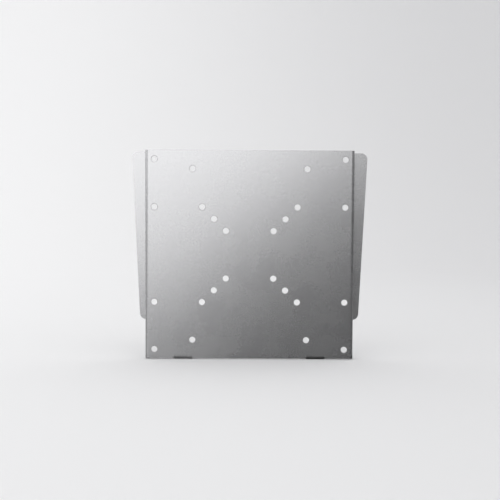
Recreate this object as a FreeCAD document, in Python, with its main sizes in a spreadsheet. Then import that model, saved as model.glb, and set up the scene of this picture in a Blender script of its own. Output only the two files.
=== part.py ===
import FreeCAD, Part
import math
import os
from enum import IntEnum
from types import SimpleNamespace

import Sketcher

# Fixed wall mount for a flat display, in millimetres. +Z is up, +X is to the right and the front faces -Y.
# The wall is the plane Y = 0, and the origin is the middle of the wall slots.
# A folded plate that takes the screen hooks on the ears of a folded frame on the wall.

SIZES = {
    # Hole patterns that screens have on their backs, across and up.
    "square_small": 50.0,
    "square_medium": 75.0,
    "square_large": 100.0,
    "square_widest": 200.0,
    "tall_across": 120.0,
    "tall_up": 180.0,
    "screen_hole": 6.5,
    "hole_rim": 0.3,
    # Screen plate: one sheet with two side flanges, two lock tabs and four hooks.
    "mount_depth": 25.0,
    "plate_sheet": 2.0,
    "plate_bend": 1.0,
    "edge_margin": 9.5,
    "flange_corner": 4.0,
    "hook_neck": 8.0,
    "hook_drop": 8.0,
    "hook_width": 4.0,
    "hook_gap": 0.5,
    "hook_nose": 1.5,
    "tab_width": 20.0,
    "tab_margin": 4.0,
    "tab_drop": 0.6,
    "tab_corner": 4.0,
    "tab_slit_width": 0.3,
    "tab_slit_height": 3.0,
    # Wall frame: one sheet with two bars on the wall and two ears that stand off it.
    "wall_sheet": 2.5,
    "wall_bend": 2.0,
    "standoff": 8.0,
    "bar_height": 25.0,
    "notch_radius": 7.5,
    "stile_inset": 8.0,
    "stile_land": 2.0,
    "stile_corner": 3.0,
    "ear_reach_top": 15.2,
    "ear_reach_bottom": 6.7,
    "ear_top_drop": 2.0,
    "ear_corner": 6.5,
    "foot_height": 12.5,
    "foot_inset": 4.0,
    "frame_corner": 4.0,
    "slot_play": 0.5,
    "lift_room": 1.5,
    "wall_slot_pitch": 100.0,
    "wall_slot_length": 20.0,
    "wall_slot_width": 7.0,
    "lip_width": 14.0,
    "lip_margin": 1.0,
    "lip_corner": 3.0,
    "lip_to_bend": 3.5,
    "lip_slit_width": 1.5,
    "lip_slit_height": 6.0,
    # Lock screws and the clinch nuts that they turn in.
    "screw_diameter": 5.0,
    "screw_recess": 0.1,
    "screw_chamfer": 0.8,
    "socket_flats": 2.5,
    "socket_depth": 3.0,
    "thread_play": 0.05,
    "shank_wall": 0.75,
    "shank_play": 0.05,
    "nut_shoulder": 1.25,
    "nut_height": 3.5,
    "nut_chamfer": 0.5,
    "nut_to_bend": 1.0,
}


class Length:
    """A length with its value and the sheet formula that gives it."""

    def __init__(self, value, formula):
        self.value = value
        self.formula = formula

    def __add__(self, other):
        return Length(self.value + other.value, f"({self.formula} + {other.formula})")

    def __sub__(self, other):
        return Length(self.value - other.value, f"({self.formula} - {other.formula})")

    def __mul__(self, factor):
        return Length(self.value * factor, f"({self.formula} * {factor})")

    def __truediv__(self, divisor):
        return Length(self.value / divisor, f"({self.formula} / {divisor})")

    def __neg__(self):
        return Length(-self.value, f"(0 - {self.formula})")


document = FreeCAD.newDocument("DisplayWallMount")
sheet = document.addObject("Spreadsheet::Sheet", "Sizes")
for row, (alias, value) in enumerate(SIZES.items(), start=1):
    sheet.set(f"A{row}", alias.replace("_", " "))
    sheet.set(f"B{row}", str(value))
    sheet.setAlias(f"B{row}", alias)
size = SimpleNamespace(**{alias: Length(value, f"{sheet.Name}.{alias}") for alias, value in SIZES.items()})

# Places worked out from the driving dimensions.
nowhere = Length(0.0, "0")
plate_half = size.square_widest / 2 + size.edge_margin
flange_inner = plate_half - size.plate_sheet
front_face = -size.mount_depth
seat_face = -(size.standoff + size.wall_sheet)
plate_bend_outer = size.plate_bend + size.plate_sheet
wall_bend_outer = size.wall_bend + size.wall_sheet

bar_inner = size.square_large / 2 + size.notch_radius
bar_middle = bar_inner + size.bar_height / 2
bar_outer = bar_inner + size.bar_height
stile_inner = size.square_widest / 2 - size.stile_inset
joggle_outer = stile_inner - size.stile_land
joggle_inner = joggle_outer - size.standoff
slot_inner = flange_inner - size.slot_play
slot_outer = plate_half + size.slot_play
ear_top = plate_half - size.ear_top_drop
ear_bottom = size.foot_height - bar_outer
ear_half_top = plate_half + size.ear_reach_top
ear_half_bottom = plate_half + size.ear_reach_bottom
foot_half = slot_inner - size.foot_inset

slot_height = size.hook_neck + size.hook_drop + size.lift_room
upper_hook_seat = bar_middle - slot_height / 2
lower_hook_seat = -slot_height / 2

nut_shank = size.screw_diameter + size.shank_wall * 2
nut_diameter = nut_shank + size.nut_shoulder * 2
lock_x = joggle_inner - size.lip_to_bend - size.lip_slit_width - size.lip_width / 2
lock_y = front_face + plate_bend_outer + size.nut_to_bend + nut_diameter / 2
tab_under = -plate_half - size.tab_drop
tab_end = lock_y + nut_diameter / 2 + size.tab_margin
lip_under = -bar_outer - size.wall_sheet
lip_end = lock_y - size.screw_diameter / 2 - size.lip_margin
screw_foot = tab_under + size.screw_recess


class Axis(IntEnum):
    X = 0
    Y = 1
    Z = 2


class Spot(IntEnum):
    """The sketcher's numbers for the points of an element, and for the element that holds the origin."""

    ORIGIN = -1
    START = 1
    END = 2
    CENTRE = 3


def both(place):
    """A place on one side of the middle and the same place on the other."""
    return (place, -place)


def mirrored(corners):
    """An outline's right half, carried on round the left."""
    return corners + [(-across, up) for across, up in reversed(corners)]


def origin_plane(body, role):
    return next(item for item in body.Origin.OriginFeatures if item.Role == role)


def new_body(label):
    body = document.addObject("PartDesign::Body", label)
    body.Label = label
    return body


def new_sketch(body, name, role, offset=nowhere):
    """Sketch parallel to an origin plane of its body, at an offset along that plane's normal."""
    sketch = body.newObject("Sketcher::SketchObject", name)
    sketch.AttachmentSupport = (origin_plane(body, role), [""])
    sketch.MapMode = "FlatFace"
    sketch.AttachmentOffset = FreeCAD.Placement(FreeCAD.Vector(0, 0, offset.value), FreeCAD.Rotation())
    sketch.setExpression("AttachmentOffset.Base.z", offset.formula)
    return sketch


def bind(sketch, length, *arguments):
    """Add a constraint of that length and bind it to the sheet."""
    number = sketch.addConstraint(Sketcher.Constraint(*arguments, length.value))
    sketch.setExpression(f"Constraints[{number}]", length.formula)


def hold(sketch, element, spot, across, up):
    """Hold one point of a sketch by its two distances from the origin."""
    bind(sketch, across, "DistanceX", Spot.ORIGIN, Spot.START, element, spot)
    bind(sketch, up, "DistanceY", Spot.ORIGIN, Spot.START, element, spot)


def sketch_point(across, up):
    return FreeCAD.Vector(across.value, up.value, 0)


def polygon(sketch, corners):
    """Closed loop of straight lines with every corner held."""
    first = sketch.GeometryCount
    following = corners[1:] + corners[:1]
    for corner, next_corner in zip(corners, following):
        sketch.addGeometry(Part.LineSegment(sketch_point(*corner), sketch_point(*next_corner)), False)
    for index, corner in enumerate(corners):
        after = first + (index + 1) % len(corners)
        sketch.addConstraint(Sketcher.Constraint("Coincident", first + index, Spot.END, after, Spot.START))
        hold(sketch, first + index, Spot.START, *corner)


def rectangle(sketch, left, right, low, high):
    polygon(sketch, [(left, low), (right, low), (right, high), (left, high)])


def rectangle_pair(sketch, near, far, low, high):
    """A rectangle on the right and its mirror image on the left."""
    rectangle(sketch, near, far, low, high)
    rectangle(sketch, -far, -near, low, high)


def circle(sketch, across, up, diameter):
    outline = Part.Circle(sketch_point(across, up), FreeCAD.Vector(0, 0, 1), diameter.value / 2)
    number = sketch.addGeometry(outline, False)
    hold(sketch, number, Spot.CENTRE, across, up)
    bind(sketch, diameter, "Diameter", number)


def long_slot(sketch, across, up, length, width):
    """Slot with round ends that runs across."""
    left = across - (length - width) / 2
    right = across + (length - width) / 2
    low = up - width / 2
    high = up + width / 2
    normal = FreeCAD.Vector(0, 0, 1)
    left_end = Part.Circle(sketch_point(left, up), normal, width.value / 2)
    right_end = Part.Circle(sketch_point(right, up), normal, width.value / 2)
    quarter = math.pi / 2
    floor = sketch.addGeometry(Part.LineSegment(sketch_point(left, low), sketch_point(right, low)), False)
    right_arc = sketch.addGeometry(Part.ArcOfCircle(right_end, -quarter, quarter), False)
    roof = sketch.addGeometry(Part.LineSegment(sketch_point(right, high), sketch_point(left, high)), False)
    left_arc = sketch.addGeometry(Part.ArcOfCircle(left_end, quarter, 3 * quarter), False)
    for element, following in ((floor, right_arc), (right_arc, roof), (roof, left_arc), (left_arc, floor)):
        sketch.addConstraint(Sketcher.Constraint("Coincident", element, Spot.END, following, Spot.START))
    hold(sketch, floor, Spot.START, left, low)
    hold(sketch, floor, Spot.END, right, low)
    hold(sketch, roof, Spot.START, right, high)
    hold(sketch, roof, Spot.END, left, high)
    bind(sketch, right, "DistanceX", Spot.ORIGIN, Spot.START, right_arc, Spot.CENTRE)
    bind(sketch, left, "DistanceX", Spot.ORIGIN, Spot.START, left_arc, Spot.CENTRE)


def pad(body, sketch, length, sides="One side"):
    feature = body.newObject("PartDesign::Pad", sketch.Name + "_pad")
    feature.Profile = sketch
    feature.SideType = sides
    feature.Length = length.value
    feature.setExpression("Length", length.formula)
    document.recompute()
    return feature


def cut(body, sketch, depth=None):
    """Cut a sketch right through, or to a depth along the sketch's own normal."""
    before = body.Shape.Volume
    feature = body.newObject("PartDesign::Pocket", sketch.Name + "_cut")
    feature.Profile = sketch
    if depth is None:
        feature.SideType = "Two sides"
        feature.Type = "ThroughAll"
        feature.Type2 = "ThroughAll"
    else:
        feature.Type = "Length"
        feature.Reversed = True
        feature.Length = depth.value
        feature.setExpression("Length", depth.formula)
    document.recompute()
    if body.Shape.Volume >= before:
        raise RuntimeError(f"{feature.Name} cuts nothing")


def mirror(body, feature):
    """Repeat a feature on the other side of the middle plane X = 0."""
    copy = body.newObject("PartDesign::Mirrored", feature.Name + "_mirror")
    copy.Originals = [feature]
    copy.MirrorPlane = (origin_plane(body, "YZ_Plane"), [""])
    body.Tip = copy
    document.recompute()


def same(coordinate, length, tolerance=1e-4):
    return abs(coordinate - length.value) < tolerance


def edges_along(body, axis, places, middles=None):
    """Names of the straight edges along an axis at given pairs of the other two coordinates.

    Where middles are given, an edge's middle also lies at one of them along the axis.
    """
    others = [other for other in Axis if other != axis]
    names = []
    for number, edge in enumerate(body.Shape.Edges, start=1):
        if not isinstance(edge.Curve, Part.Line):
            continue
        centre = edge.CenterOfMass
        ends = [vertex.Point for vertex in edge.Vertexes]
        straight = all(math.isclose(ends[0][other], ends[1][other], abs_tol=1e-4) for other in others)
        placed = any(all(same(centre[other], spot) for other, spot in zip(others, place)) for place in places)
        wanted = middles is None or any(same(centre[axis], middle) for middle in middles)
        if straight and placed and wanted:
            names.append(f"Edge{number}")
    return names


def circles_at(body, axis, level, diameter):
    """Names of the circular edges of one diameter whose centres lie at one level along an axis."""
    names = []
    for number, edge in enumerate(body.Shape.Edges, start=1):
        if not isinstance(edge.Curve, Part.Circle):
            continue
        if same(edge.Curve.Center[axis], level) and same(edge.Curve.Radius, diameter / 2):
            names.append(f"Edge{number}")
    return names


def round_edges(body, name, radius, edges):
    feature = body.newObject("PartDesign::Fillet", name)
    feature.Base = (feature.BaseFeature, edges)
    feature.Radius = radius.value
    feature.setExpression("Radius", radius.formula)
    document.recompute()


def break_edges(body, name, width, edges):
    feature = body.newObject("PartDesign::Chamfer", name)
    feature.Base = (feature.BaseFeature, edges)
    feature.Size = width.value
    feature.setExpression("Size", width.formula)
    document.recompute()


def place(body, across, back, up):
    """Set a body at a place that the sheet gives."""
    spot = FreeCAD.Vector(across.value, back.value, up.value)
    body.Placement = FreeCAD.Placement(spot, FreeCAD.Rotation())
    for letter, length in (("x", across), ("y", back), ("z", up)):
        body.setExpression(f".Placement.Base.{letter}", length.formula)


def make_screen_plate():
    """Front plate: a sheet with side flanges folded back, screen holes, lock tabs and hooks."""
    body = new_body("screen_plate")
    inner_face = front_face + size.plate_sheet

    # Channel section: the front and both flanges, which end on the ears of the wall frame.
    section = new_sketch(body, "plate_section", "XY_Plane")
    polygon(section, mirrored([
        (plate_half, front_face),
        (plate_half, seat_face),
        (flange_inner, seat_face),
        (flange_inner, inner_face),
    ]))
    pad(body, section, plate_half * 2, "Symmetric")
    outer_bends = [(x, front_face) for x in both(plate_half)]
    inner_bends = [(x, inner_face) for x in both(flange_inner)]
    round_edges(body, "plate_bend_outside", plate_bend_outer, edges_along(body, Axis.Z, outer_bends))
    round_edges(body, "plate_bend_inside", size.plate_bend, edges_along(body, Axis.Z, inner_bends))

    # Slits that free both sides of each lock tab.
    slits = new_sketch(body, "tab_slits", "XZ_Plane")
    slit_root = size.tab_slit_height - plate_half
    slit_foot = -plate_half - size.tab_slit_width
    tab_left = lock_x - size.tab_width / 2
    tab_right = lock_x + size.tab_width / 2
    rectangle_pair(slits, tab_left - size.tab_slit_width, tab_left, slit_foot, slit_root)
    rectangle_pair(slits, tab_right, tab_right + size.tab_slit_width, slit_foot, slit_root)
    cut(body, slits)

    # Lock tabs folded back from the bottom edge, just below it, with holes for the clinch nuts.
    tab_top = tab_under + size.plate_sheet
    tab = new_sketch(body, "lock_tab", "YZ_Plane", tab_left)
    polygon(tab, [
        (front_face, slit_root),
        (front_face, tab_under),
        (tab_end, tab_under),
        (tab_end, tab_top),
        (inner_face, tab_top),
        (inner_face, slit_root),
    ])
    mirror(body, pad(body, tab, size.tab_width))
    outer_bend = edges_along(body, Axis.X, [(front_face, tab_under)])
    round_edges(body, "tab_bend_outside", plate_bend_outer, outer_bend)
    inner_bend = edges_along(body, Axis.X, [(inner_face, tab_top)])
    round_edges(body, "tab_bend_inside", size.plate_bend, inner_bend)
    tab_ends = [(x, tab_end) for side in (tab_left, tab_right) for x in both(side)]
    round_edges(body, "tab_corners", size.tab_corner, edges_along(body, Axis.Z, tab_ends))
    nut_holes = new_sketch(body, "nut_holes", "XY_Plane")
    for x in both(lock_x):
        circle(nut_holes, x, lock_y, nut_shank + size.shank_play * 2)
    cut(body, nut_holes)

    # Hooks behind the flanges, each a neck through an ear and a nose that drops behind it.
    hook_root = seat_face - size.plate_sheet
    hook_front = size.hook_gap - size.standoff
    hook_back = hook_front + size.hook_width
    for name, hook_seat in (("upper_hook", upper_hook_seat), ("lower_hook", lower_hook_seat)):
        nose = hook_seat - size.hook_drop
        neck_top = hook_seat + size.hook_neck
        hook = new_sketch(body, name, "YZ_Plane", flange_inner)
        polygon(hook, [
            (hook_root, hook_seat),
            (hook_front, hook_seat),
            (hook_front, nose),
            (hook_back, nose),
            (hook_back, neck_top),
            (hook_root, neck_top),
        ])
        mirror(body, pad(body, hook, size.plate_sheet))
        tips = [(hook_front, nose), (hook_back, nose), (hook_back, neck_top)]
        round_edges(body, name + "_tips", size.hook_nose, edges_along(body, Axis.X, tips))
    flange_ends = [(seat_face, z) for z in both(plate_half)]
    round_edges(body, "flange_corners", size.flange_corner, edges_along(body, Axis.X, flange_ends))

    # Screen holes, four to a pattern, with broken rims on the front.
    holes = new_sketch(body, "screen_holes", "XZ_Plane")
    patterns = [
        (size.square_small, size.square_small),
        (size.square_medium, size.square_medium),
        (size.square_large, size.square_large),
        (size.square_widest, size.square_large),
        (size.square_widest, size.square_widest),
        (size.tall_across, size.tall_up),
    ]
    for across, up in patterns:
        for x in both(across / 2):
            for z in both(up / 2):
                circle(holes, x, z, size.screen_hole)
    cut(body, holes)
    break_edges(body, "hole_rims", size.hole_rim, circles_at(body, Axis.Y, front_face, size.screen_hole))
    return body


def make_wall_frame():
    """Wall frame: two bars on the wall, joggled out at both ends to a pair of tapered ears."""
    body = new_body("wall_frame")
    bend_shift = size.wall_sheet * math.tan(math.radians(45) / 2)

    # Folded section along the bars: flat on the wall, then 45 degrees forward to the ears.
    section = new_sketch(body, "frame_section", "XY_Plane", -bar_outer)
    polygon(section, mirrored([
        (joggle_inner, nowhere),
        (joggle_outer, -size.standoff),
        (ear_half_top, -size.standoff),
        (ear_half_top, seat_face),
        (joggle_outer - bend_shift, seat_face),
        (joggle_inner - bend_shift, -size.wall_sheet),
    ]))
    pad(body, section, bar_outer + ear_top)
    outside = [(x, nowhere) for x in both(joggle_inner)]
    outside += [(x, seat_face) for x in both(joggle_outer - bend_shift)]
    inside = [(x, -size.standoff) for x in both(joggle_outer)]
    inside += [(x, -size.wall_sheet) for x in both(joggle_inner - bend_shift)]
    round_edges(body, "frame_bend_outside", wall_bend_outer, edges_along(body, Axis.Z, outside))
    round_edges(body, "frame_bend_inside", size.wall_bend, edges_along(body, Axis.Z, inside))

    # Outline of the frame and its window, which has round ways for the outer screen bolts in its corners.
    outline = new_sketch(body, "frame_outline", "XZ_Plane")
    waste = size.bar_height
    rectangle(outline, -ear_half_top - waste, ear_half_top + waste, -bar_outer - waste, ear_top + waste)
    polygon(outline, mirrored([
        (slot_inner, bar_outer),
        (slot_inner, ear_top),
        (ear_half_top, ear_top),
        (ear_half_bottom, ear_bottom),
        (foot_half, ear_bottom),
        (foot_half, -bar_outer),
    ]))
    bolt_x = size.square_widest / 2
    bolt_z = size.square_large / 2
    notch_edge = bolt_z - size.notch_radius
    polygon(outline, mirrored([
        (bolt_x, bar_inner),
        (bolt_x, notch_edge),
        (stile_inner, notch_edge),
        (stile_inner, -notch_edge),
        (bolt_x, -notch_edge),
        (bolt_x, -bar_inner),
    ]))
    cut(body, outline)
    ways = new_sketch(body, "bolt_ways", "XZ_Plane")
    for x in both(bolt_x):
        for z in both(bolt_z):
            circle(ways, x, z, size.notch_radius * 2)
    cut(body, ways)
    ear_corners = [(x, ear_top) for x in both(ear_half_top)]
    ear_corners += [(x, ear_bottom) for x in both(ear_half_bottom)]
    round_edges(body, "ear_corners", size.ear_corner, edges_along(body, Axis.Y, ear_corners))
    frame_corners = [(x, z) for x in both(slot_inner) for z in (bar_outer, ear_top)]
    frame_corners += [(x, z) for x in both(foot_half) for z in (ear_bottom, -bar_outer)]
    round_edges(body, "frame_corners", size.frame_corner, edges_along(body, Axis.Y, frame_corners))
    stile_corners = [(x, z) for x in both(stile_inner) for z in both(notch_edge)]
    round_edges(body, "stile_corners", size.stile_corner, edges_along(body, Axis.Y, stile_corners))

    # Slots in the ears for the hooks, and slots and holes in the bars for the wall screws.
    slots = new_sketch(body, "hook_slots", "XZ_Plane")
    for hook_seat in (upper_hook_seat, lower_hook_seat):
        rectangle_pair(slots, slot_inner, slot_outer, hook_seat, hook_seat + slot_height)
    cut(body, slots)
    wall_holes = new_sketch(body, "wall_holes", "XZ_Plane")
    for z in both(bar_middle):
        circle(wall_holes, nowhere, z, size.wall_slot_width)
        for x in both(size.wall_slot_pitch / 2):
            long_slot(wall_holes, x, z, size.wall_slot_length, size.wall_slot_width)
    cut(body, wall_holes)

    # Lips folded forward from the lower bar, which the lock screws stop against.
    slits = new_sketch(body, "lip_slits", "XZ_Plane")
    lip_left = lock_x - size.lip_width / 2
    lip_right = lock_x + size.lip_width / 2
    slit_root = size.lip_slit_height - bar_outer
    slit_foot = -bar_outer - size.lip_slit_width
    rectangle_pair(slits, lip_left - size.lip_slit_width, lip_left, slit_foot, slit_root)
    rectangle_pair(slits, lip_right, lip_right + size.lip_slit_width, slit_foot, slit_root)
    cut(body, slits)
    lip = new_sketch(body, "lock_lip", "YZ_Plane", lip_left)
    polygon(lip, [
        (nowhere, slit_root),
        (nowhere, lip_under),
        (lip_end, lip_under),
        (lip_end, -bar_outer),
        (-size.wall_sheet, -bar_outer),
        (-size.wall_sheet, slit_root),
    ])
    mirror(body, pad(body, lip, size.lip_width))
    outer_bend = edges_along(body, Axis.X, [(nowhere, lip_under)], both(lock_x))
    round_edges(body, "lip_bend_outside", wall_bend_outer, outer_bend)
    inner_bend = edges_along(body, Axis.X, [(-size.wall_sheet, -bar_outer)], both(lock_x))
    round_edges(body, "lip_bend_inside", size.wall_bend, inner_bend)
    lip_ends = [(x, lip_end) for side in (lip_left, lip_right) for x in both(side)]
    round_edges(body, "lip_corners", size.lip_corner, edges_along(body, Axis.Z, lip_ends))
    return body


def make_lock_screw(label, x):
    """Headless screw with a hexagon socket in its foot; its tip stops under a lip of the wall frame."""
    body = new_body(label)
    shank = new_sketch(body, label + "_shank", "XY_Plane")
    circle(shank, nowhere, nowhere, size.screw_diameter)
    length = lip_under - screw_foot
    pad(body, shank, length)
    ends = circles_at(body, Axis.Z, nowhere, size.screw_diameter)
    ends += circles_at(body, Axis.Z, length, size.screw_diameter)
    break_edges(body, label + "_ends", size.screw_chamfer, ends)
    socket = new_sketch(body, label + "_socket", "XY_Plane")
    corner = size.socket_flats / math.sqrt(3)
    flat = size.socket_flats / 2
    polygon(socket, mirrored([
        (corner / 2, flat),
        (corner, nowhere),
        (corner / 2, -flat),
    ]))
    cut(body, socket, size.socket_depth)
    place(body, x, lock_y, screw_foot)
    return body


def make_clinch_nut(label, x):
    """Round nut on top of a lock tab, pressed into the tab by its shank."""
    body = new_body(label)
    profile = new_sketch(body, label + "_profile", "XZ_Plane")
    bore = size.screw_diameter / 2 + size.thread_play
    top = size.plate_sheet + size.nut_height
    polygon(profile, [
        (bore, nowhere),
        (nut_shank / 2, nowhere),
        (nut_shank / 2, size.plate_sheet),
        (nut_diameter / 2, size.plate_sheet),
        (nut_diameter / 2, top - size.nut_chamfer),
        (nut_diameter / 2 - size.nut_chamfer, top),
        (bore, top),
    ])
    turned = body.newObject("PartDesign::Revolution", label + "_turned")
    turned.Profile = profile
    turned.ReferenceAxis = (profile, ["V_Axis"])
    turned.Angle = 360
    document.recompute()
    place(body, x, lock_y, tab_under)
    return body


bodies = [make_screen_plate(), make_wall_frame()]
for side, x in (("left", -lock_x), ("right", lock_x)):
    bodies.append(make_lock_screw(f"{side}_lock_screw", x))
    bodies.append(make_clinch_nut(f"{side}_clinch_nut", x))
document.recompute()

for item in document.Objects:
    if "Invalid" in item.State or "Error" in item.State:
        raise RuntimeError(f"{item.Name} failed: {item.State}")
for body in bodies:
    if body.Shape.isNull() or not body.Shape.isValid():
        raise RuntimeError(f"{body.Label} has no valid shape")

os.makedirs("parts", exist_ok=True)
for body in bodies:
    body.Shape.exportStep(f"parts/{body.Label}.step")
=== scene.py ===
import math

import bmesh
import bpy
from mathutils import Matrix, Vector


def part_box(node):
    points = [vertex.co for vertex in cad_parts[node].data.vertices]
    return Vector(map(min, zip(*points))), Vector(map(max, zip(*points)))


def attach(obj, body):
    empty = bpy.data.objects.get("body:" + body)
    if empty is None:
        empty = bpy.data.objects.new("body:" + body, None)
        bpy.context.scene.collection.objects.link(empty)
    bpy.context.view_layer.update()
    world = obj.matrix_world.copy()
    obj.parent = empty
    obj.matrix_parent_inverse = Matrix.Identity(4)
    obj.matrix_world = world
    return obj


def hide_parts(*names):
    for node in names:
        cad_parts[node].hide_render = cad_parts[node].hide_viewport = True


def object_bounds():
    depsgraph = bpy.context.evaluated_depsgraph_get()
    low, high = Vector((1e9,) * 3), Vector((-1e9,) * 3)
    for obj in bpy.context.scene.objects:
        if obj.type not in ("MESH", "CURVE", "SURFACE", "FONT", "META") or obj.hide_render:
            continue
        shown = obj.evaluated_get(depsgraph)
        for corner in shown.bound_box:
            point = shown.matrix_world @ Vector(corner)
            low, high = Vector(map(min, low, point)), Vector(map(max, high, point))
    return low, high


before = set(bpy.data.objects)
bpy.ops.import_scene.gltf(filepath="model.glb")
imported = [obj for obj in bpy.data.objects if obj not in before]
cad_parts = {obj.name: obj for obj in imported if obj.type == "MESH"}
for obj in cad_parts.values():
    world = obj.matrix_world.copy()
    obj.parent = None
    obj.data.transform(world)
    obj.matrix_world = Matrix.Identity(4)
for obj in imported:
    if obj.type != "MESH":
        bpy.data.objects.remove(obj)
cad_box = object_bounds()

# Wall frame: one steel sheet, cut and folded so that two bars lie on the wall and two ears stand off it.
# The whole sheet is powder coated in satin silver after folding, and the coat rounds every cut edge.
# The bars are screwed to the wall through their slots.

COAT_DARK = (0.398, 0.398, 0.405, 1.0)
COAT_LIGHT = (0.426, 0.426, 0.433, 1.0)
COAT_EDGE_AND_SHEEN = (0.472, 0.472, 0.479, 1.0)
COAT_GRAIN = {"Fleck size": 0.0004, "Cloud size": 0.03, "Ripple size": 0.0022}
COAT_WEAR = {"Width": 0.0007, "Patch size": 0.008}
COAT_FLECK_IN_COLOUR = 0.65
COAT_FLECK_IN_GLOSS = 0.4
COAT_ROUGH_LOW = 0.26
COAT_ROUGH_HIGH = 0.285
COAT_PEEL = 0.05
COAT_PEEL_HEIGHT = 0.0001
COAT_METAL = 0.9
COAT_THICKNESS = 0.0001
COAT_EDGE_STEPS = 2
CUT_EDGE_ANGLE = math.radians(50)
FLAT_ANGLE = math.radians(0.5)
SEAM_GAP = 1e-6
GRAIN_KINDS = ("Fleck", "Cloud", "Ripple")
GRAIN_LOW = 0.3
GRAIN_HIGH = 0.7
GRAIN_DETAIL = 2.0
WEAR_SAMPLES = 6
WEAR_FLAT = 0.995
WEAR_SHARP = 0.85
WEAR_PATCH_LOW = 0.35
WEAR_PATCH_HIGH = 0.65
WEAR_LEAST = 0.3


def enabled_socket(sockets, name):
    return next(socket for socket in sockets if socket.name == name and socket.enabled)


def feed(tree, socket, value):
    """Links a socket to another one, or sets its value."""
    if isinstance(value, bpy.types.NodeSocket):
        tree.links.new(value, socket)
    else:
        socket.default_value = value


def place_node(tree, kind, feeds=None, **settings):
    """Adds a node, sets its properties, and gives each named input a value or a link."""
    node = tree.nodes.new(kind)
    for name, value in settings.items():
        setattr(node, name, value)
    for name, value in (feeds or {}).items():
        feed(tree, enabled_socket(node.inputs, name), value)
    return node


def maths(tree, operation, *values, kind="ShaderNodeMath"):
    """One sum of numbers, or of directions with the vector kind of node."""
    node = place_node(tree, kind, operation=operation)
    for socket, value in zip(node.inputs, values):
        feed(tree, socket, value)
    return node.outputs["Value"]


def likeness(tree, first, second):
    """How far two directions agree: 1 where they are the same, 0 where they are square to each other."""
    return maths(tree, "DOT_PRODUCT", first, second, kind="ShaderNodeVectorMath")


def weighted(tree, share, first, second):
    """The given share of first and the rest of second."""
    rest = maths(tree, "MULTIPLY", second, 1 - share)
    return maths(tree, "ADD", maths(tree, "MULTIPLY", first, share), rest)


def spread(tree, value, start, end, low, high, curve="LINEAR"):
    """Goes from low at start to high at end, and stays there beyond them."""
    feeds = {"Value": value, "From Min": start, "From Max": end, "To Min": low, "To Max": high}
    return place_node(tree, "ShaderNodeMapRange", feeds, interpolation_type=curve).outputs["Result"]


def mix_colours(tree, share, first, second):
    node = place_node(tree, "ShaderNodeMix", {"Factor": share, "A": first, "B": second}, data_type="RGBA")
    return enabled_socket(node.outputs, "Result")


def start_group(name, takes, gives):
    """An empty node group: number inputs with their usual values, and number outputs."""
    group = bpy.data.node_groups.new(name, "ShaderNodeTree")
    for title, usual in takes.items():
        socket = group.interface.new_socket(title, in_out="INPUT", socket_type="NodeSocketFloat")
        socket.default_value = usual
    for title in gives:
        group.interface.new_socket(title, in_out="OUTPUT", socket_type="NodeSocketFloat")
    given = group.nodes.new("NodeGroupInput").outputs
    return group, given, group.nodes.new("NodeGroupOutput").inputs


def noise(tree, size):
    """Soft noise in the frame's own coordinates, with lumps of about the given size in metres."""
    place = place_node(tree, "ShaderNodeTexCoord").outputs["Object"]
    feeds = {"Vector": place, "Scale": maths(tree, "DIVIDE", 1.0, size), "Detail": GRAIN_DETAIL}
    return place_node(tree, "ShaderNodeTexNoise", feeds).outputs["Fac"]


fine_grain, given, result = start_group("fine grain", COAT_GRAIN, GRAIN_KINDS)
for title in GRAIN_KINDS:
    lumps = noise(fine_grain, given[title + " size"])
    fine_grain.links.new(spread(fine_grain, lumps, GRAIN_LOW, GRAIN_HIGH, 0.0, 1.0), result[title])

edge_wear, given, result = start_group("edge wear", COAT_WEAR, ("Edge",))
rounded = place_node(edge_wear, "ShaderNodeBevel", {"Radius": given["Width"]}, samples=WEAR_SAMPLES)
surface = place_node(edge_wear, "ShaderNodeNewGeometry")
flatness = likeness(edge_wear, rounded.outputs["Normal"], surface.outputs["Normal"])
near_edge = spread(edge_wear, flatness, WEAR_FLAT, WEAR_SHARP, 0.0, 1.0)
lumps = noise(edge_wear, given["Patch size"])
patches = spread(edge_wear, lumps, WEAR_PATCH_LOW, WEAR_PATCH_HIGH, WEAR_LEAST, 1.0)
edge_wear.links.new(maths(edge_wear, "MULTIPLY", near_edge, patches), result["Edge"])


def new_finish(name):
    finish = bpy.data.materials.new(name)
    finish.use_nodes = True
    return finish, finish.node_tree, finish.node_tree.nodes["Principled BSDF"]


def metal_finish(name, grain_sizes, wear_sizes, metal):
    """A metal finish with its own grain and edge wear, ready for its colour, gloss and relief."""
    finish, tree, skin = new_finish(name)
    skin.inputs["Metallic"].default_value = metal
    grain = place_node(tree, "ShaderNodeGroup", node_tree=fine_grain, feeds=grain_sizes).outputs
    wear = place_node(tree, "ShaderNodeGroup", node_tree=edge_wear, feeds=wear_sizes).outputs["Edge"]
    return finish, tree, skin, grain, wear


def add_relief(tree, skin, height, strength, distance):
    """Raises the surface a little where height is high."""
    feeds = {"Height": height, "Strength": strength, "Distance": distance}
    relief = place_node(tree, "ShaderNodeBump", feeds).outputs["Normal"]
    tree.links.new(relief, skin.inputs["Normal"])


silver_coat, tree, skin, grain, wear = metal_finish("silver_coat", COAT_GRAIN, COAT_WEAR, COAT_METAL)
flecks = weighted(tree, COAT_FLECK_IN_COLOUR, grain["Fleck"], grain["Cloud"])
silver = mix_colours(tree, flecks, COAT_DARK, COAT_LIGHT)
# The edges turn lighter where the coat is thinner, and partly as a painted highlight where edges catch the
# light.
tree.links.new(mix_colours(tree, wear, silver, COAT_EDGE_AND_SHEEN), skin.inputs["Base Color"])
satin = weighted(tree, COAT_FLECK_IN_GLOSS, grain["Fleck"], grain["Cloud"])
tree.links.new(spread(tree, satin, 0.0, 1.0, COAT_ROUGH_LOW, COAT_ROUGH_HIGH), skin.inputs["Roughness"])
add_relief(tree, skin, grain["Ripple"], COAT_PEEL, COAT_PEEL_HEIGHT)


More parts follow.
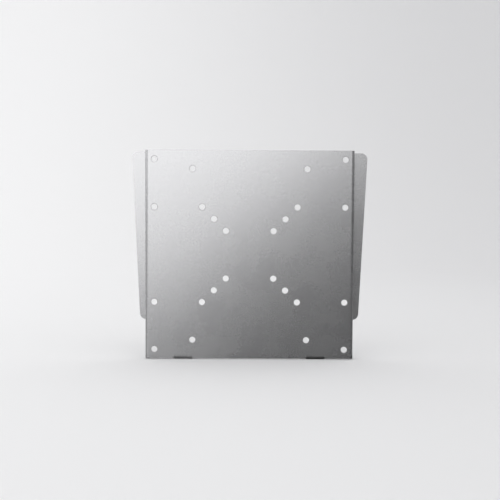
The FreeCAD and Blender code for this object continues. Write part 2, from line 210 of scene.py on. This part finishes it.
def coat_sheet(name):
    """Gives a folded sheet its coat and rounds its cut edges by the coat's thickness."""
    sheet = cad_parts[name]
    sheet.data.materials.clear()
    sheet.data.materials.append(silver_coat)
    joined = sheet.modifiers.new("joined faces", "WELD")
    joined.merge_threshold = SEAM_GAP
    plain = sheet.modifiers.new("plain faces", "DECIMATE")
    plain.decimate_type = "DISSOLVE"
    plain.angle_limit = FLAT_ANGLE
    edge = sheet.modifiers.new("coat edge", "BEVEL")
    edge.width = COAT_THICKNESS
    edge.segments = COAT_EDGE_STEPS
    edge.limit_method = "ANGLE"
    edge.angle_limit = CUT_EDGE_ANGLE
    edge.use_clamp_overlap = False
    shading = sheet.modifiers.new("even shading", "WEIGHTED_NORMAL")
    shading.keep_sharp = True


coat_sheet("wall_frame")

# Screen plate: one steel sheet with two side flanges folded back, rows of screen holes and two foot tabs.
# Four hooks on its flanges drop into slots in the ears of the wall frame.
# It has the same silver powder coat as the wall frame.

coat_sheet("screen_plate")

# Clinch nuts: turned steel, zinc plated, one pressed into the hole of each tab at the foot of the plate.
# A plain round body stands on the tab and a short shank fills the hole, flush with the tab's underside.
# Each is tapped for its lock screw with an M5 thread.

ZINC_BRIGHT = (0.62, 0.63, 0.645, 1.0)
ZINC_DULL = (0.52, 0.53, 0.54, 1.0)
ZINC_GRAIN = {"Fleck size": 0.0002, "Cloud size": 0.003, "Ripple size": 0.0006}
ZINC_WEAR = {"Width": 0.0003, "Patch size": 0.002}
ZINC_ROUGH_LOW = 0.24
ZINC_ROUGH_HIGH = 0.36
ZINC_RIPPLE = 0.1
ZINC_RIPPLE_HEIGHT = 0.00005
BARE_METAL = 1.0
THREAD_PITCH = 0.0008
THREAD_CREST = 0.0025
THREAD_ROOT = 0.00201
THREAD_PLAY = 0.00005
THREAD_SIDES = 48
SPARE_LAPS = 2
# One turn of the thread's outline: the share of the pitch, and the rise from root to crest.
THREAD_STEPS = ((0.0, 1.0), (0.125, 1.0), (0.4375, 0.0), (0.5625, -0.05), (0.6875, 0.0))
NUT_MOUTH = 0.0027
NUT_BODY = 0.0045
NUT_SHANK = 0.00325
NUT_CHAMFER = 0.0005
NUT_EDGE = 0.0001
NUT_GROOVE = 0.00012
TAB_THICKNESS = 0.002
SHARP_ANGLE = math.radians(35)
SAME_HEIGHT = 1e-9
SAME_POINT = 1e-7


def add_point(mesh, centre, turn, radius, height):
    return mesh.verts.new((centre.x + radius * math.cos(turn), centre.y + radius * math.sin(turn), height))


def add_ring(mesh, centre, radius, height):
    """One point for each side of the thread, at a radius that may change with the turn."""
    radius_at = radius if callable(radius) else lambda turn: radius
    turns = [side / THREAD_SIDES * math.tau for side in range(THREAD_SIDES)]
    return [add_point(mesh, centre, turn, radius_at(turn), height) for turn in turns]


def join_rings(mesh, rings):
    for low, high in zip(rings, rings[1:]):
        for side in range(THREAD_SIDES):
            after = (side + 1) % THREAD_SIDES
            mesh.faces.new((low[side], low[after], high[after], high[side]))


def add_thread(mesh, centre, start, low, high, radius_near_end):
    """A helical thread between two heights, counted from start; returns the rings of points at its ends."""
    laps = range(-SPARE_LAPS, math.ceil((high - start) / THREAD_PITCH) + SPARE_LAPS)
    columns = []
    for side in range(THREAD_SIDES):
        lap_share = side / THREAD_SIDES
        column = []
        for lap in laps:
            for pitch_share, rise in THREAD_STEPS:
                height = start + (lap + pitch_share + lap_share) * THREAD_PITCH
                height = min(max(height, low), high)
                if column and height in (low, high) and abs(column[-1].co.z - height) < SAME_HEIGHT:
                    column.append(column[-1])
                    continue
                radius = THREAD_ROOT + rise * (THREAD_CREST - THREAD_ROOT)
                radius = radius_near_end(radius, min(height - low, high - height))
                column.append(add_point(mesh, centre, lap_share * math.tau, radius, height))
        columns.append(column)
    first = columns[0]
    columns.append(first[len(THREAD_STEPS):] + [first[-1]] * len(THREAD_STEPS))
    for here, there in zip(columns, columns[1:]):
        for corners in zip(here, there, there[1:], here[1:]):
            corners = list(dict.fromkeys(corners))
            if len(corners) > 2:
                mesh.faces.new(corners)
    return [column[0] for column in columns[:-1]], [column[-1] for column in columns[:-1]]


def finish_piece(mesh, name, node, finish):
    """Turns a mesh into a piece with crisp edges that stands for a node of the frame."""
    bmesh.ops.dissolve_degenerate(mesh, dist=SAME_POINT, edges=mesh.edges)
    bmesh.ops.recalc_face_normals(mesh, faces=mesh.faces)
    for face in mesh.faces:
        face.smooth = True
    for edge in mesh.edges:
        edge.smooth = edge.calc_face_angle(0.0) < SHARP_ANGLE
    data = bpy.data.meshes.new(name)
    mesh.to_mesh(data)
    mesh.free()
    data.materials.append(finish)
    piece = bpy.data.objects.new(name, data)
    bpy.context.scene.collection.objects.link(piece)
    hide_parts(node)
    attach(piece, "root")


def node_axis(node):
    low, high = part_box(node)
    return (low + high) / 2, low.z, high.z


def tapped(radius, from_end):
    """The nut's thread runs out into a cone at each mouth."""
    return max(radius + THREAD_PLAY, NUT_MOUTH - from_end)


zinc_steel, tree, skin, grain, wear = metal_finish("zinc_steel", ZINC_GRAIN, ZINC_WEAR, BARE_METAL)
plating = mix_colours(tree, grain["Cloud"], ZINC_DULL, ZINC_BRIGHT)
tree.links.new(mix_colours(tree, wear, plating, ZINC_BRIGHT), skin.inputs["Base Color"])
polish = spread(tree, grain["Fleck"], 0.0, 1.0, ZINC_ROUGH_LOW, ZINC_ROUGH_HIGH)
tree.links.new(polish, skin.inputs["Roughness"])
add_relief(tree, skin, grain["Ripple"], ZINC_RIPPLE, ZINC_RIPPLE_HEIGHT)

for hand in ("left", "right"):
    centre, foot, top = node_axis(hand + "_clinch_nut")
    screw_foot = node_axis(hand + "_lock_screw")[1]
    seat = foot + TAB_THICKNESS
    mesh = bmesh.new()
    lower_mouth, upper_mouth = add_thread(mesh, centre, screw_foot, foot, top, tapped)
    outside = [(NUT_SHANK - NUT_EDGE, foot), (NUT_SHANK, foot + NUT_EDGE), (NUT_SHANK, seat),
               (NUT_BODY - NUT_GROOVE, seat), (NUT_BODY - NUT_GROOVE, seat + 2 * NUT_GROOVE),
               (NUT_BODY, seat + 3 * NUT_GROOVE), (NUT_BODY, top - NUT_CHAMFER),
               (NUT_BODY - NUT_CHAMFER, top)]
    rings = [add_ring(mesh, centre, radius, height) for radius, height in outside]
    join_rings(mesh, [lower_mouth] + rings + [upper_mouth])
    finish_piece(mesh, hand + "_nut", hand + "_clinch_nut", zinc_steel)

# Lock screws: headless M5 screws of blackened steel with a hexagon socket in the foot and a cupped tip.
# Each is screwed up through its clinch nut until the tip bears on the lower lip of the wall frame.
# That keeps the screen plate from being lifted off its hooks.

SCREW_BLACK = (0.045, 0.046, 0.05, 1.0)
SCREW_BARE = (0.3, 0.295, 0.29, 1.0)
SCREW_GRAIN = {"Fleck size": 0.00015, "Cloud size": 0.004, "Ripple size": 0.0005}
SCREW_WEAR = {"Width": 0.00015, "Patch size": 0.003}
SCREW_RUBBED = 0.6
SCREW_ROUGH_LOW = 0.3
SCREW_ROUGH_HIGH = 0.44
SCREW_PITS = 0.15
SCREW_PIT_DEPTH = 0.00003
SCREW_CHAMFER = 0.0008
SOCKET_HALF = 0.00125
SOCKET_DEPTH = 0.003
SOCKET_DRILL = 0.0006
SOCKET_FLAT_TURN = math.pi / 3
CUP_RIM = 0.0014
CUP_DEPTH = 0.0005


def hexagon(turn):
    """The radius of the socket's six flats at a turn."""
    return SOCKET_HALF / math.cos((turn + SOCKET_FLAT_TURN / 2) % SOCKET_FLAT_TURN - SOCKET_FLAT_TURN / 2)


def chamfered(radius, from_end):
    """The screw's thread is turned off to a cone at each end."""
    return min(radius, THREAD_CREST - SCREW_CHAMFER + from_end)


def close_ring(mesh, ring, centre, height):
    """Closes a ring with a shallow cone."""
    point = mesh.verts.new((centre.x, centre.y, height))
    for side in range(THREAD_SIDES):
        mesh.faces.new((ring[side], ring[(side + 1) % THREAD_SIDES], point))


screw_steel, tree, skin, grain, wear = metal_finish("screw_steel", SCREW_GRAIN, SCREW_WEAR, BARE_METAL)
rubbed = maths(tree, "MULTIPLY", wear, SCREW_RUBBED)
tree.links.new(mix_colours(tree, rubbed, SCREW_BLACK, SCREW_BARE), skin.inputs["Base Color"])
sheen = spread(tree, grain["Cloud"], 0.0, 1.0, SCREW_ROUGH_LOW, SCREW_ROUGH_HIGH)
tree.links.new(sheen, skin.inputs["Roughness"])
add_relief(tree, skin, grain["Fleck"], SCREW_PITS, SCREW_PIT_DEPTH)

for hand in ("left", "right"):
    centre, foot, tip = node_axis(hand + "_lock_screw")
    mesh = bmesh.new()
    foot_ring, tip_ring = add_thread(mesh, centre, foot, foot, tip, chamfered)
    socket_mouth = add_ring(mesh, centre, hexagon, foot)
    socket_floor = add_ring(mesh, centre, hexagon, foot + SOCKET_DEPTH)
    join_rings(mesh, [foot_ring, socket_mouth, socket_floor])
    close_ring(mesh, socket_floor, centre, foot + SOCKET_DEPTH + SOCKET_DRILL)
    cup_rim = add_ring(mesh, centre, CUP_RIM, tip)
    join_rings(mesh, [tip_ring, cup_rim])
    close_ring(mesh, cup_rim, centre, tip - CUP_DEPTH)
    finish_piece(mesh, hand + "_screw", hand + "_lock_screw", screw_steel)

# Floor and backdrop: a pale painted bowl with a wide cove, so that the floor runs up into a wall all round,
# with painted shade towards the right.
# The mount stands on its two tabs in the middle of it and throws a soft shadow on the floor.
# It is clear from outside, and the metal mirrors the studio of the light section in its place.

BOWL_RADIUS = 2.8
BOWL_COVE = 1.65
BOWL_HEIGHT = 1.7
BOWL_STEPS = 96
COVE_STEPS = 24
BOWL_SEAM_GAP = 1e-5
BOWL_PAINTED_LIGHT = (0.95, 0.95, 0.955, 1.0)
BOWL_PAINTED_SHADE = (0.7, 0.7, 0.71, 1.0)
BOWL_SHADE_FADE = 1.0
CHALKY = 0.9
FOOT_CLEARANCE = 0.0003

floor_level = cad_box[0].z - FOOT_CLEARANCE

bowl_profile = [(0.0, floor_level)]
for step in range(COVE_STEPS + 1):
    turn = step / COVE_STEPS * math.pi / 2
    radius = BOWL_RADIUS - BOWL_COVE * (1 - math.sin(turn))
    bowl_profile.append((radius, floor_level + BOWL_COVE * (1 - math.cos(turn))))
bowl_profile.append((BOWL_RADIUS, floor_level + BOWL_HEIGHT))

mesh = bmesh.new()
columns = []
for step in range(BOWL_STEPS):
    turn = step / BOWL_STEPS * math.tau
    points = [(r * math.sin(turn), -r * math.cos(turn), height) for r, height in bowl_profile]
    columns.append([mesh.verts.new(point) for point in points])
for here, there in zip(columns, columns[1:] + columns[:1]):
    for low, high, next_high, next_low in zip(here, here[1:], there[1:], there):
        mesh.faces.new((low, high, next_high, next_low))
bmesh.ops.remove_doubles(mesh, verts=mesh.verts, dist=BOWL_SEAM_GAP)
for face in mesh.faces:
    face.smooth = True
bowl_mesh = bpy.data.meshes.new("stage_bowl")
mesh.to_mesh(bowl_mesh)
mesh.free()


def painted_light_fade(name, left_colour, right_colour, start, end):
    """A chalky paint that goes from one colour to the other between two places across the floor, as painted
    light and shade.
    """
    paint, tree, skin = new_finish(name)
    place = place_node(tree, "ShaderNodeTexCoord").outputs["Object"]
    across = place_node(tree, "ShaderNodeSeparateXYZ", {"Vector": place}).outputs["X"]
    fade = spread(tree, across, start, end, 0.0, 1.0, "SMOOTHSTEP")
    tree.links.new(mix_colours(tree, fade, left_colour, right_colour), skin.inputs["Base Color"])
    skin.inputs["Roughness"].default_value = CHALKY
    return paint, tree, skin


# Painted shade: the bowl's paint darkens from white on the left to pale grey on the right, as if the light
# fell off that way.
bowl_shaded_paint, tree, skin = painted_light_fade("bowl_shaded_paint", BOWL_PAINTED_LIGHT, BOWL_PAINTED_SHADE, -BOWL_SHADE_FADE, BOWL_SHADE_FADE)
skin.inputs["Specular IOR Level"].default_value = 0.0
from_outside = place_node(tree, "ShaderNodeNewGeometry").outputs["Backfacing"]
one_sided = tree.nodes.new("ShaderNodeMixShader")
tree.links.new(from_outside, one_sided.inputs[0])
tree.links.new(skin.outputs[0], one_sided.inputs[1])
tree.links.new(tree.nodes.new("ShaderNodeBsdfTransparent").outputs[0], one_sided.inputs[2])
tree.links.new(one_sided.outputs[0], tree.nodes["Material Output"].inputs["Surface"])
bowl_mesh.materials.append(bowl_shaded_paint)
bowl = bpy.data.objects.new("stage_bowl", bowl_mesh)
bowl.visible_glossy = False
bpy.context.scene.collection.objects.link(bowl)

# Contact strip: painted shade of the dark gap between the foot of the mount and the floor, for the metal to
# mirror.
# It lies on the floor under the mount, painted lighter on the left as painted light, where more light comes
# in below.
# Only reflections show it.

STRIP_DEPTH = 0.033
STRIP_PAINTED_LIGHT = (0.36, 0.36, 0.36, 1.0)
STRIP_PAINTED_SHADE = (0.02, 0.02, 0.02, 1.0)
STRIP_FADE_FROM = -0.06
STRIP_FADE_TO = 0.01

left, right = cad_box[0].x, cad_box[1].x
strip_mesh = bpy.data.meshes.new("contact_shade_strip")
strip_corners = [(left, -STRIP_DEPTH, floor_level), (right, -STRIP_DEPTH, floor_level),
                 (right, 0.0, floor_level), (left, 0.0, floor_level)]
strip_mesh.from_pydata(strip_corners, [], [(0, 1, 2, 3)])
# Painted shade and light: the strip goes from a lit grey on the left to near black on the right.
contact_shade_paint = painted_light_fade("contact_shade_paint", STRIP_PAINTED_LIGHT, STRIP_PAINTED_SHADE, STRIP_FADE_FROM, STRIP_FADE_TO)[0]
strip_mesh.materials.append(contact_shade_paint)
strip = bpy.data.objects.new("contact_shade_strip", strip_mesh)
strip.visible_camera = False
strip.visible_diffuse = False
strip.visible_shadow = False
bpy.context.scene.collection.objects.link(strip)

# Studio light: a wide ceiling panel and an even sky light the bowl, and a leaning softbox behind the camera
# and a panel on the left show only in the metal. The sky that the metal mirrors is a studio: pale all round,
# with a dark corner in front to the right and a dusky band low on the left, which draw the bends.

SOFTBOX_WIDTH = 0.9
SOFTBOX_HEIGHT = 0.9
SOFTBOX_LEAN = math.radians(40)
SOFTBOX_EDGE = Vector((0.029, -1.6, -0.009))
SOFTBOX_POWER = 4.7
CEILING_PLACE = Vector((-0.4, 0.0, 2.2))
CEILING_SIZE = 3.0
CEILING_POWER = 5.0
SIDE_PANEL_PLACE = Vector((-1.25, -0.4, 0.45))
SIDE_PANEL_AIM = Vector((0.0, 0.0, 0.45))
SIDE_PANEL_WIDTH = 0.5
SIDE_PANEL_HEIGHT = 0.7
SIDE_PANEL_POWER = 2.0
SKY_LEVEL = (1.0, 1.0, 1.0, 1.0)
STUDIO_DIM = (0.8, 0.8, 0.805, 1.0)
STUDIO_BRIGHT = (1.1, 1.1, 1.105, 1.0)
STUDIO_DARK = (0.01, 0.01, 0.01, 1.0)
BRIGHT_SIDE = (-0.3, -0.1, 0.95)
BRIGHT_FULL = 0.9
DARK_LEFT = math.radians(-7)
DARK_RIGHT = math.radians(122)
DARK_FRONT_HIGH = math.radians(2)
DARK_SIDE_HIGH = math.radians(4)
DARK_FRONT_LOW = math.radians(-46)
DARK_SIDE_LOW = math.radians(-14)
DARK_SIDE_FROM = math.radians(18)
DARK_SIDE_TO = math.radians(32)
DARK_SOFT = math.radians(3)
DUSK_LEFT = math.radians(-130)
DUSK_RIGHT = math.radians(-45)
DUSK_LOW = math.radians(-20)
DUSK_HIGH = math.radians(-4)
DUSK_SOFT = math.radians(6)
DUSK_SHARE = 0.6


def panel_light(name, turn, place, width, height, power):
    """A flat panel that shines along its own -Z, hidden from the camera."""
    lamp = bpy.data.lights.new(name, "AREA")
    lamp.shape = "RECTANGLE"
    lamp.size = width
    lamp.size_y = height
    lamp.energy = power
    panel = bpy.data.objects.new(name, lamp)
    panel.matrix_world = Matrix.Translation(place) @ turn.to_4x4()
    panel.visible_camera = False
    bpy.context.scene.collection.objects.link(panel)
    return panel


softbox_up = Vector((-math.sin(SOFTBOX_LEAN), 0.0, math.cos(SOFTBOX_LEAN)))
softbox_across = Vector((math.cos(SOFTBOX_LEAN), 0.0, math.sin(SOFTBOX_LEAN)))
softbox_turn = Matrix((softbox_across, softbox_up, softbox_across.cross(softbox_up))).transposed()
softbox_place = SOFTBOX_EDGE + softbox_up * SOFTBOX_HEIGHT / 2
softbox = panel_light("softbox", softbox_turn, softbox_place, SOFTBOX_WIDTH, SOFTBOX_HEIGHT, SOFTBOX_POWER)
softbox.visible_diffuse = False
panel_light("ceiling", Matrix.Identity(3), CEILING_PLACE, CEILING_SIZE, CEILING_SIZE, CEILING_POWER)
side_turn = (SIDE_PANEL_AIM - SIDE_PANEL_PLACE).to_track_quat("-Z", "Y").to_matrix()
side_panel = panel_light("side_panel", side_turn, SIDE_PANEL_PLACE,
                         SIDE_PANEL_WIDTH, SIDE_PANEL_HEIGHT, SIDE_PANEL_POWER)
side_panel.visible_diffuse = False

world = bpy.data.worlds.new("studio")
bpy.context.scene.world = world
world.use_nodes = True
sky = world.node_tree


def rising(value, edge, soft):
    """0 below the edge and 1 above it, with a soft step between."""
    return spread(sky, value, edge - soft, edge + soft, 0.0, 1.0, "SMOOTHSTEP")


def falling(value, edge, soft):
    """1 below the edge and 0 above it, with a soft step between."""
    return spread(sky, value, edge - soft, edge + soft, 1.0, 0.0, "SMOOTHSTEP")


def both(first, second):
    return maths(sky, "MULTIPLY", first, second)


def past_corner_edge(front, side):
    """How far a direction is above an edge that goes from one elevation in front to another at the side."""
    edge = spread(sky, azimuth, DARK_SIDE_FROM, DARK_SIDE_TO, front, side, "SMOOTHSTEP")
    return maths(sky, "SUBTRACT", elevation, edge)


direction = place_node(sky, "ShaderNodeTexCoord").outputs["Generated"]
split = place_node(sky, "ShaderNodeSeparateXYZ", {"Vector": direction}).outputs
azimuth = maths(sky, "ARCTAN2", split["X"], maths(sky, "MULTIPLY", split["Y"], -1.0))
elevation = maths(sky, "ARCSINE", split["Z"])
corner_across = both(rising(azimuth, DARK_LEFT, DARK_SOFT), falling(azimuth, DARK_RIGHT, DARK_SOFT))
above_low = rising(past_corner_edge(DARK_FRONT_LOW, DARK_SIDE_LOW), 0.0, DARK_SOFT)
below_high = falling(past_corner_edge(DARK_FRONT_HIGH, DARK_SIDE_HIGH), 0.0, DARK_SOFT)
corner = both(corner_across, both(above_low, below_high))
dusk_across = both(rising(azimuth, DUSK_LEFT, DUSK_SOFT), falling(azimuth, DUSK_RIGHT, DUSK_SOFT))
dusk_up = both(rising(elevation, DUSK_LOW, DUSK_SOFT), falling(elevation, DUSK_HIGH, DUSK_SOFT))
dusk = both(both(dusk_across, dusk_up), DUSK_SHARE)
shade = maths(sky, "MAXIMUM", corner, dusk)
bright_share = spread(sky, likeness(sky, direction, BRIGHT_SIDE), -BRIGHT_FULL, BRIGHT_FULL, 0.0, 1.0)
studio_pale = mix_colours(sky, bright_share, STUDIO_DIM, STUDIO_BRIGHT)
studio_colour = mix_colours(sky, shade, studio_pale, STUDIO_DARK)
mirrored = place_node(sky, "ShaderNodeLightPath").outputs["Is Glossy Ray"]
sky.links.new(mix_colours(sky, mirrored, SKY_LEVEL, studio_colour), sky.nodes["Background"].inputs["Color"])

# Camera: straight in front, about a metre away and a little above the middle of the plate.
# It is rolled by a third of a degree, as the photograph is.

CAMERA_PLACE = Vector((-0.00892, -1.0733, 0.06374))
CAMERA_AIM = Vector((0.00038, -0.025, 0.00512))
CAMERA_ROLL = math.radians(0.316)
CAMERA_LENS = 72.04

camera = bpy.data.objects.new("camera", bpy.data.cameras.new("camera"))
camera.data.lens = CAMERA_LENS
ahead = (CAMERA_AIM - CAMERA_PLACE).normalized()
level = ahead.cross(Vector((0, 0, 1))).normalized()
across = Matrix.Rotation(-CAMERA_ROLL, 3, ahead) @ level
above = across.cross(ahead)
camera_turn = Matrix((across, above, -ahead)).transposed()
camera.matrix_world = Matrix.Translation(CAMERA_PLACE) @ camera_turn.to_4x4()
bpy.context.scene.collection.objects.link(camera)
bpy.context.scene.camera = camera
bpy.context.scene.view_settings.view_transform = "Standard"
